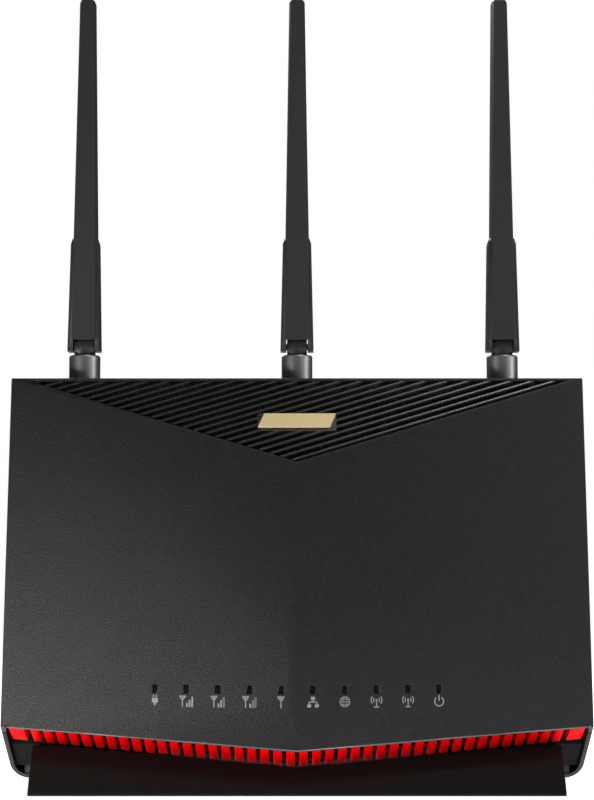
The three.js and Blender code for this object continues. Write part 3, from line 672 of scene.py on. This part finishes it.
GRILLE_ACROSS = Vector((1.0, 0.0, 0.0))
GRILLE_UP = Vector((0.0, CORNER_TOP.y - RIDGE_TOP.y, CORNER_TOP.z - RIDGE_TOP.z))
GRILLE_HEIGHT = GRILLE_UP.length
GRILLE_ANGLE = math.atan2(GRILLE_HEIGHT, HALF_WIDTH)
SLAT_PITCH = 2.88 * MM
SLATS = 25
FIRST_SLAT = 0.96
SLAT_SPAN = (-125 * MM, 150 * MM)
SLAT_FACE = 1.1 * MM
SLAT_ROOT = 0.5 * MM
SLAT_TOP = -0.3 * MM
SLAT_DEPTH = -4.0 * MM
SLAT_ROUND = 0.32 * MM
WINDOW_INSET = 1.4 * MM
WINDOW_HEIGHTS = (-6 * MM, 2 * MM)
FRAME_INSET = 0.7 * MM
FRAME_RIM = 0.9 * MM
FRAME_HEIGHTS = (-4.2 * MM, -2.1 * MM)
RIB_PLACES = (-34 * MM, 34 * MM)
RIB_HALF = 0.8 * MM
RIB_REACH = (7 * MM, 38 * MM)
RIB_HEIGHTS = (-5.4 * MM, -3.9 * MM)
BADGE_SEAT = ((-14.9 * MM, 15.8 * MM, -5 * MM), (14.9 * MM, 24.2 * MM, -0.5 * MM))


def grille_matrix():
    """From the plane of the grille, its origin at the tip of the V, to the object."""
    up = GRILLE_UP.normalized()
    out = GRILLE_ACROSS.cross(up)
    turn = Matrix((GRILLE_ACROSS, up, out)).transposed().to_4x4()
    return Matrix.Translation(RIDGE_TOP) @ turn


def window_outline(inset):
    low = inset / math.cos(GRILLE_ANGLE)
    high = GRILLE_HEIGHT - inset
    reach = (high - low) / math.tan(GRILLE_ANGLE)
    return [(0.0, low), (reach, high), (-reach, high)]


def slat_outline():
    """A slat seen end on: a rounded face that narrows towards its root."""
    half = SLAT_FACE / 2
    points = [(-SLAT_ROOT / 2, SLAT_DEPTH), (SLAT_ROOT / 2, SLAT_DEPTH)]
    for side, first, last in ((1, 0.0, 90.0), (-1, 90.0, 180.0)):
        for share in (0.0, 0.34, 0.67, 1.0):
            turn = math.radians(first + (last - first) * share)
            across = side * (half - SLAT_ROUND) + SLAT_ROUND * math.cos(turn)
            points.append((across, SLAT_TOP - SLAT_ROUND * (1 - math.sin(turn))))
    return points


def make_grille():
    lean = Matrix.Rotation(GRILLE_ANGLE, 4, "Z")
    slat = prism_mesh(slat_outline(), *SLAT_SPAN, axis="x")
    window = prism_mesh(window_outline(WINDOW_INSET), *WINDOW_HEIGHTS)
    window.transform(lean.inverted())
    blocks = [
        box_points(
            (x - RIB_HALF, RIB_REACH[0], RIB_HEIGHTS[0]), (x + RIB_HALF, RIB_REACH[1], RIB_HEIGHTS[1])
        )
        for x in RIB_PLACES
    ]
    blocks.append(box_points(*BADGE_SEAT))
    outer = window_outline(FRAME_INSET)
    inner = window_outline(WINDOW_INSET + FRAME_RIM)
    for i in range(3):
        corners = [outer[i], outer[(i + 1) % 3], inner[i], inner[(i + 1) % 3]]
        blocks.append([(x, y, z) for x, y in corners for z in FRAME_HEIGHTS])
    base = joined_mesh("grille_frame", [hull_mesh(points) for points in blocks])
    base.transform(lean.inverted())
    mesh = grown(
        CLIPPED_ROW,
        base,
        slat,
        window,
        count=SLATS,
        first=(0.0, FIRST_SLAT * SLAT_PITCH, 0.0),
        step=(0.0, SLAT_PITCH, 0.0),
        growth=(0.0, 0.0, 0.0),
        tilt=0.0,
        seed=3,
        finish=SHELL_BLACK,
    )
    mesh.transform(grille_matrix() @ lean)
    node = "grille_panel"
    new_piece("grille_slats", mesh, SLAT_BLACK, body_of_node(node), node, slot_of_node(node))


# ------------------------------------------------------------------ printed symbols

SYMBOL_Z = 33.9 * MM
SYMBOL_PLACES = [5.8 * MM, 17.4 * MM, 29.0 * MM, 40.6 * MM, 52.1 * MM]
LINE = 0.42
PRINT_RAISED = 0.12 * MM
PRINT_SUNK = 0.15 * MM


def line(x0, y0, x1, y1, width=LINE):
    """A straight stroke as one outline."""
    along = Vector((x1 - x0, y1 - y0)).normalized() * (width / 2)
    across = Vector((-along.y, along.x))
    a = Vector((x0, y0)) - along
    b = Vector((x1, y1)) + along
    return [a - across, b - across, b + across, a + across]


def arc(x, y, radius, start, end, width=LINE, steps=14, squash=1.0):
    """A curved stroke as a row of outlines."""
    pieces = []
    turns = [math.radians(start + (end - start) * i / steps) for i in range(steps + 1)]
    for a, b in zip(turns, turns[1:]):
        inner = radius - width / 2
        outer = radius + width / 2
        corners = [(inner, a), (outer, a), (outer, b), (inner, b)]
        pieces.append([(x + squash * r * math.cos(t), y + r * math.sin(t)) for r, t in corners])
    return pieces


def disc(x, y, radius, steps=16):
    turns = [2 * math.pi * i / steps for i in range(steps)]
    return [(x + radius * math.cos(t), y + radius * math.sin(t)) for t in turns]


def area(x0, y0, x1, y1):
    return [(x0, y0), (x1, y0), (x1, y1), (x0, y1)]


def frame_lines(x0, y0, x1, y1, width=0.28):
    corners = [(x0, y0), (x1, y0), (x1, y1), (x0, y1)]
    return [line(*a, *b, width) for a, b in zip(corners, corners[1:] + corners[:1])]


def plug_symbol():
    """A generic plug: two prongs, a body, a collar and a lead."""
    return [
        area(-1.1, -0.6, 1.1, 1.1),
        area(-0.75, 1.35, -0.3, 2.2),
        area(0.3, 1.35, 0.75, 2.2),
        line(0, -0.6, 0, -2.1),
        area(-0.55, -1.2, 0.55, -0.8),
    ]


def mast(x):
    return [
        line(x, -2.0, x, 1.8),
        line(x - 1.1, 1.8, x, 0.3),
        line(x + 1.1, 1.8, x, 0.3),
        line(x - 1.1, 1.8, x + 1.1, 1.8),
    ]


def signal_symbol(full):
    """A receiving mast with three bars, of which some are filled."""
    bars = []
    for i in range(3):
        x = 0.1 + i * 0.95
        top = -0.7 + i * 1.15
        if i < full:
            bars.append(area(x, -2.1, x + 0.62, top))
        else:
            bars += frame_lines(x + 0.1, -2.0, x + 0.52, top - 0.1, 0.2)
    return mast(-1.3) + bars


def linked_boxes_symbol():
    boxes = [area(-0.75, 0.7, 0.75, 1.9), area(-2.1, -1.9, -0.7, -0.8), area(0.7, -1.9, 2.1, -0.8)]
    wires = [line(0, 0.7, 0, 0), line(-1.4, 0, 1.4, 0), line(-1.4, 0, -1.4, -0.8), line(1.4, 0, 1.4, -0.8)]
    return boxes + wires


def globe_symbol():
    rings = arc(0, 0, 1.75, 0, 360, 0.34, 28) + arc(0, 0, 1.75, 0, 360, 0.34, 24, 0.45)
    return rings + [
        line(-1.7, 0, 1.7, 0, 0.3),
        line(-1.45, 0.9, 1.45, 0.9, 0.26),
        line(-1.45, -0.9, 1.45, -0.9, 0.26),
    ]


def radio_symbol():
    strokes = [disc(0, 0.5, 0.42), line(0, 0.4, 0, -2.0), line(-0.7, -2.0, 0.7, -2.0)]
    for radius in (1.1, 2.0):
        for start in (-40, 140):
            strokes += arc(0, 0.5, radius, start, start + 80, 0.36)
    return strokes


def power_symbol():
    return arc(0, -0.2, 1.65, 125, 415, 0.42, 26) + [line(0, 0.1, 0, 1.9, 0.44)]


def print_symbols(name, places):
    """Thin raised prints on the facets, one mesh for each side of the ridge."""
    form = bmesh.new()
    for centre, outlines in places:
        for outline in outlines:
            ends = []
            for raised in (PRINT_RAISED, -PRINT_SUNK):
                points = [on_facet(centre + u * MM, SYMBOL_Z + v * MM, raised) for u, v in outline]
                ends.append([form.verts.new(point) for point in points])
            front, back = ends
            form.faces.new(front)
            form.faces.new(back[::-1])
            for i in range(len(outline)):
                j = (i + 1) % len(outline)
                form.faces.new((front[j], front[i], back[i], back[j]))
    bmesh.ops.recalc_face_normals(form, faces=form.faces)
    mesh = bpy.data.meshes.new(name)
    form.to_mesh(mesh)
    form.free()
    new_piece(name, mesh, PRINT_GREY, "housing")


def make_symbols():
    left = [mast(0), signal_symbol(1), signal_symbol(2), signal_symbol(3), plug_symbol()]
    right = [linked_boxes_symbol(), globe_symbol(), radio_symbol(), radio_symbol(), power_symbol()]
    print_symbols("symbols_left", [(-x, shape) for x, shape in zip(SYMBOL_PLACES, left)])
    print_symbols("symbols_right", list(zip(SYMBOL_PLACES, right)))


# ------------------------------------------------------------------ socket contacts

JACK_PLACES = [27.0 * MM, 9.0 * MM, -9.0 * MM, -27.0 * MM, -45.0 * MM]
CONTACTS = 8
CONTACT_PITCH = 1.02 * MM
CONTACT_WIDTH = 0.45 * MM
CONTACT_LENGTH = 8.0 * MM
CONTACT_HALF_THICK = 0.16 * MM
CONTACT_ROUND = 0.08 * MM
CONTACT_SLOPE = math.radians(-9.0)
CONTACT_Y = 17.5 * MM
CONTACT_Z = 25.2 * MM
CONTACT_JITTER = 0.01
CONTACT_SEED = 5


def make_contacts():
    """Eight gold spring contacts in the roof of each network socket."""
    low = (-CONTACT_WIDTH / 2, 0.0, -CONTACT_HALF_THICK)
    high = (CONTACT_WIDTH / 2, CONTACT_LENGTH, CONTACT_HALF_THICK)
    spring = hull_mesh(box_points(low, high), CONTACT_ROUND, 1)
    spring.transform(Matrix.Rotation(CONTACT_SLOPE, 4, "X"))
    rows = []
    for x in JACK_PLACES:
        rows.append(
            grown(
                PLAIN_ROW,
                bpy.data.meshes.new("no_base"),
                spring.copy(),
                count=CONTACTS,
                first=(x - (CONTACTS - 1) / 2 * CONTACT_PITCH, CONTACT_Y, CONTACT_Z),
                step=(CONTACT_PITCH, 0.0, 0.0),
                growth=(0.0, 0.0, 0.0),
                tilt=CONTACT_JITTER,
                seed=CONTACT_SEED,
                finish=CONTACT_GOLD,
            )
        )
    new_piece("socket_contacts", joined_mesh("socket_contacts", rows), CONTACT_GOLD, "housing")


# ------------------------------------------------------------------ housing pieces

ANTENNAS = ("left", "center", "right")
SMALL_EDGE = 0.18 * MM

moulded("front_cover", 0.45 * MM, SHELL_BLACK, 3)
moulded("rear_cover", 0.35 * MM, REAR_BLACK)
moulded("port_plate", 0.2 * MM, REAR_BLACK)
moulded("stand", 0.4 * MM, STAND_BLACK, 3)
moulded("front_badge", 0.2 * MM, BADGE_GOLD)
moulded("intake_tray", 0.2 * MM, INNER_BLACK)
for side in ANTENNAS:
    moulded("antenna_" + side + "_blade", 0.14 * MM, BLADE_BLACK, sharp=40.0, shortest=8.0)
    moulded("antenna_" + side + "_collar", 0.2 * MM, COLLAR_SATIN)
    moulded("antenna_" + side + "_neck", 0.12 * MM, BLADE_BLACK, sharp=60.0)

small_parts = {
    RUBBER_GREY: ["foot_front_left", "foot_front_right", "foot_rear_left", "foot_rear_right"]
    + ["skirt_pad_left", "skirt_pad_right"],
    TINNED_STEEL: ["shield_5ghz_radio", "shield_2ghz_radio", "cellular_modem", "sim_socket", "usb_port"]
    + ["wps_switch", "wifi_switch", "reset_switch"],
    SOCKET_BLUE: ["wan_jack"],
    SOCKET_BLACK: ["lan_jack_1", "lan_jack_2", "lan_jack_3", "lan_jack_4", "dc_jack", "power_button"]
    + ["power_switch", "wps_button", "wifi_button"],
    COMB_RED: ["reset_button"],
    SCREW_STEEL: ["housing_screw_%d" % number for number in range(1, 5)],
}
for material, names in small_parts.items():
    for name in names:
        moulded(name, SMALL_EDGE, material, sharp=50.0)

kept_shapes = {
    GUIDE_SMOKE: ["light_guide_left", "light_guide_right"],
    BOARD_GREEN: ["main_board"],
    FIN_ALUMINIUM: ["heatsink"],
    SCREW_STEEL: ["antenna_%s_pin" % side for side in ANTENNAS],
    CONTACT_GOLD: ["connector_%s" % side for side in ANTENNAS],
    CABLE_BLACK: ["pigtail_%s" % side for side in ANTENNAS],
}
for material, names in kept_shapes.items():
    for name in names:
        mesh = frame["nodes"][name].data
        mesh.materials.clear()
        mesh.materials.append(material)

make_comb()
make_lower_beads()
make_grille()
make_symbols()
make_contacts()

# ------------------------------------------------------------------ studio


def area_light(name, place, aim, width, height, power):
    light = bpy.data.lights.new(name, "AREA")
    light.shape = "RECTANGLE"
    light.size = width
    light.size_y = height
    light.energy = power
    lamp = bpy.data.objects.new(name, light)
    lamp.location = place
    lamp.rotation_mode = "QUATERNION"
    lamp.rotation_quaternion = (Vector(aim) - Vector(place)).to_track_quat("-Z", "Y")
    scene.collection.objects.link(lamp)


FLOOR_SIZE = 4.0
GLOW_REACH = 0.24
GLOW_FALL = 4.0
FLOOR_GLOW = 1.2
WORLD_LIGHT = 0.01
LENS = 85.0
SENSOR_WIDTH = 36.0
CAMERA_PLACE = (0.0, -0.7304, 0.0791)
CAMERA_TILT = math.radians(95.35)


def make_floor():
    """A floor that looks plain white to the camera, and that lights the object from around the stand."""
    mesh = bpy.data.meshes.new("studio_floor")
    form = bmesh.new()
    bmesh.ops.create_grid(form, x_segments=1, y_segments=1, size=FLOOR_SIZE)
    form.to_mesh(mesh)
    form.free()
    finish = Finish("studio_floor")
    cloud = finish.noise(3.0, 2.0, 0.5)
    finish.set(Base_Color=grey(0.86), Roughness=(0.6 + cloud * 0.1).clamped())
    seen = finish.add("ShaderNodeLightPath", out="Is Camera Ray")
    distance = finish.add("ShaderNodeVectorMath", {"operation": "LENGTH"}, {0: finish.place}, out="Value")
    near = 1.0 / ((distance / GLOW_REACH) ** GLOW_FALL + 1.0)
    glow = (seen + (1.0 - seen) * near * FLOOR_GLOW) / FLOOR_GLOW
    finish.set(Emission_Color=glow, Emission_Strength=FLOOR_GLOW)
    mesh.materials.append(finish.material)
    floor = bpy.data.objects.new("studio_floor", mesh)
    scene.collection.objects.link(floor)


def make_surround():
    """Even white to the camera beyond the floor, and next to no light on the object itself."""
    world = bpy.data.worlds.new("studio")
    world.use_nodes = True
    nodes = world.node_tree.nodes
    links = world.node_tree.links
    nodes.clear()
    rays = nodes.new("ShaderNodeLightPath")
    seen = nodes.new("ShaderNodeBackground")
    seen.inputs["Color"].default_value = grey(1.0)
    lit = nodes.new("ShaderNodeBackground")
    lit.inputs["Color"].default_value = grey(1.0)
    lit.inputs["Strength"].default_value = WORLD_LIGHT
    mix = nodes.new("ShaderNodeMixShader")
    output = nodes.new("ShaderNodeOutputWorld")
    links.new(rays.outputs["Is Camera Ray"], mix.inputs["Fac"])
    links.new(lit.outputs["Background"], mix.inputs[1])
    links.new(seen.outputs["Background"], mix.inputs[2])
    links.new(mix.outputs["Shader"], output.inputs["Surface"])
    scene.world = world


def make_camera():
    data = bpy.data.cameras.new("camera")
    data.lens = LENS
    data.sensor_width = SENSOR_WIDTH
    camera = bpy.data.objects.new("camera", data)
    camera.location = CAMERA_PLACE
    camera.rotation_euler = (CAMERA_TILT, 0.0, 0.0)
    scene.collection.objects.link(camera)
    scene.camera = camera


make_floor()
make_surround()
make_camera()
area_light("low_left_strip", (-0.32, -0.26, 0.022), (-0.06, -0.03, 0.03), 0.15, 0.04, 0.68)
area_light("high_right_softbox", (0.75, -0.8, 0.55), (0.03, 0, 0.1), 0.4, 0.4, 0.6)
area_light("overhead_softbox", (0.38, -0.42, 1.1), (0.03, 0, 0.14), 0.5, 0.4, 3.6)
area_light("right_softbox", (0.9, -0.25, 0.35), (0.05, 0, 0.12), 0.4, 0.4, 1.6)
area_light("rear_softbox", (-0.30, 0.62, 0.85), (0.0, 0.0, 0.09), 0.6, 0.4, 8.0)
scene.view_settings.view_transform = "Standard"
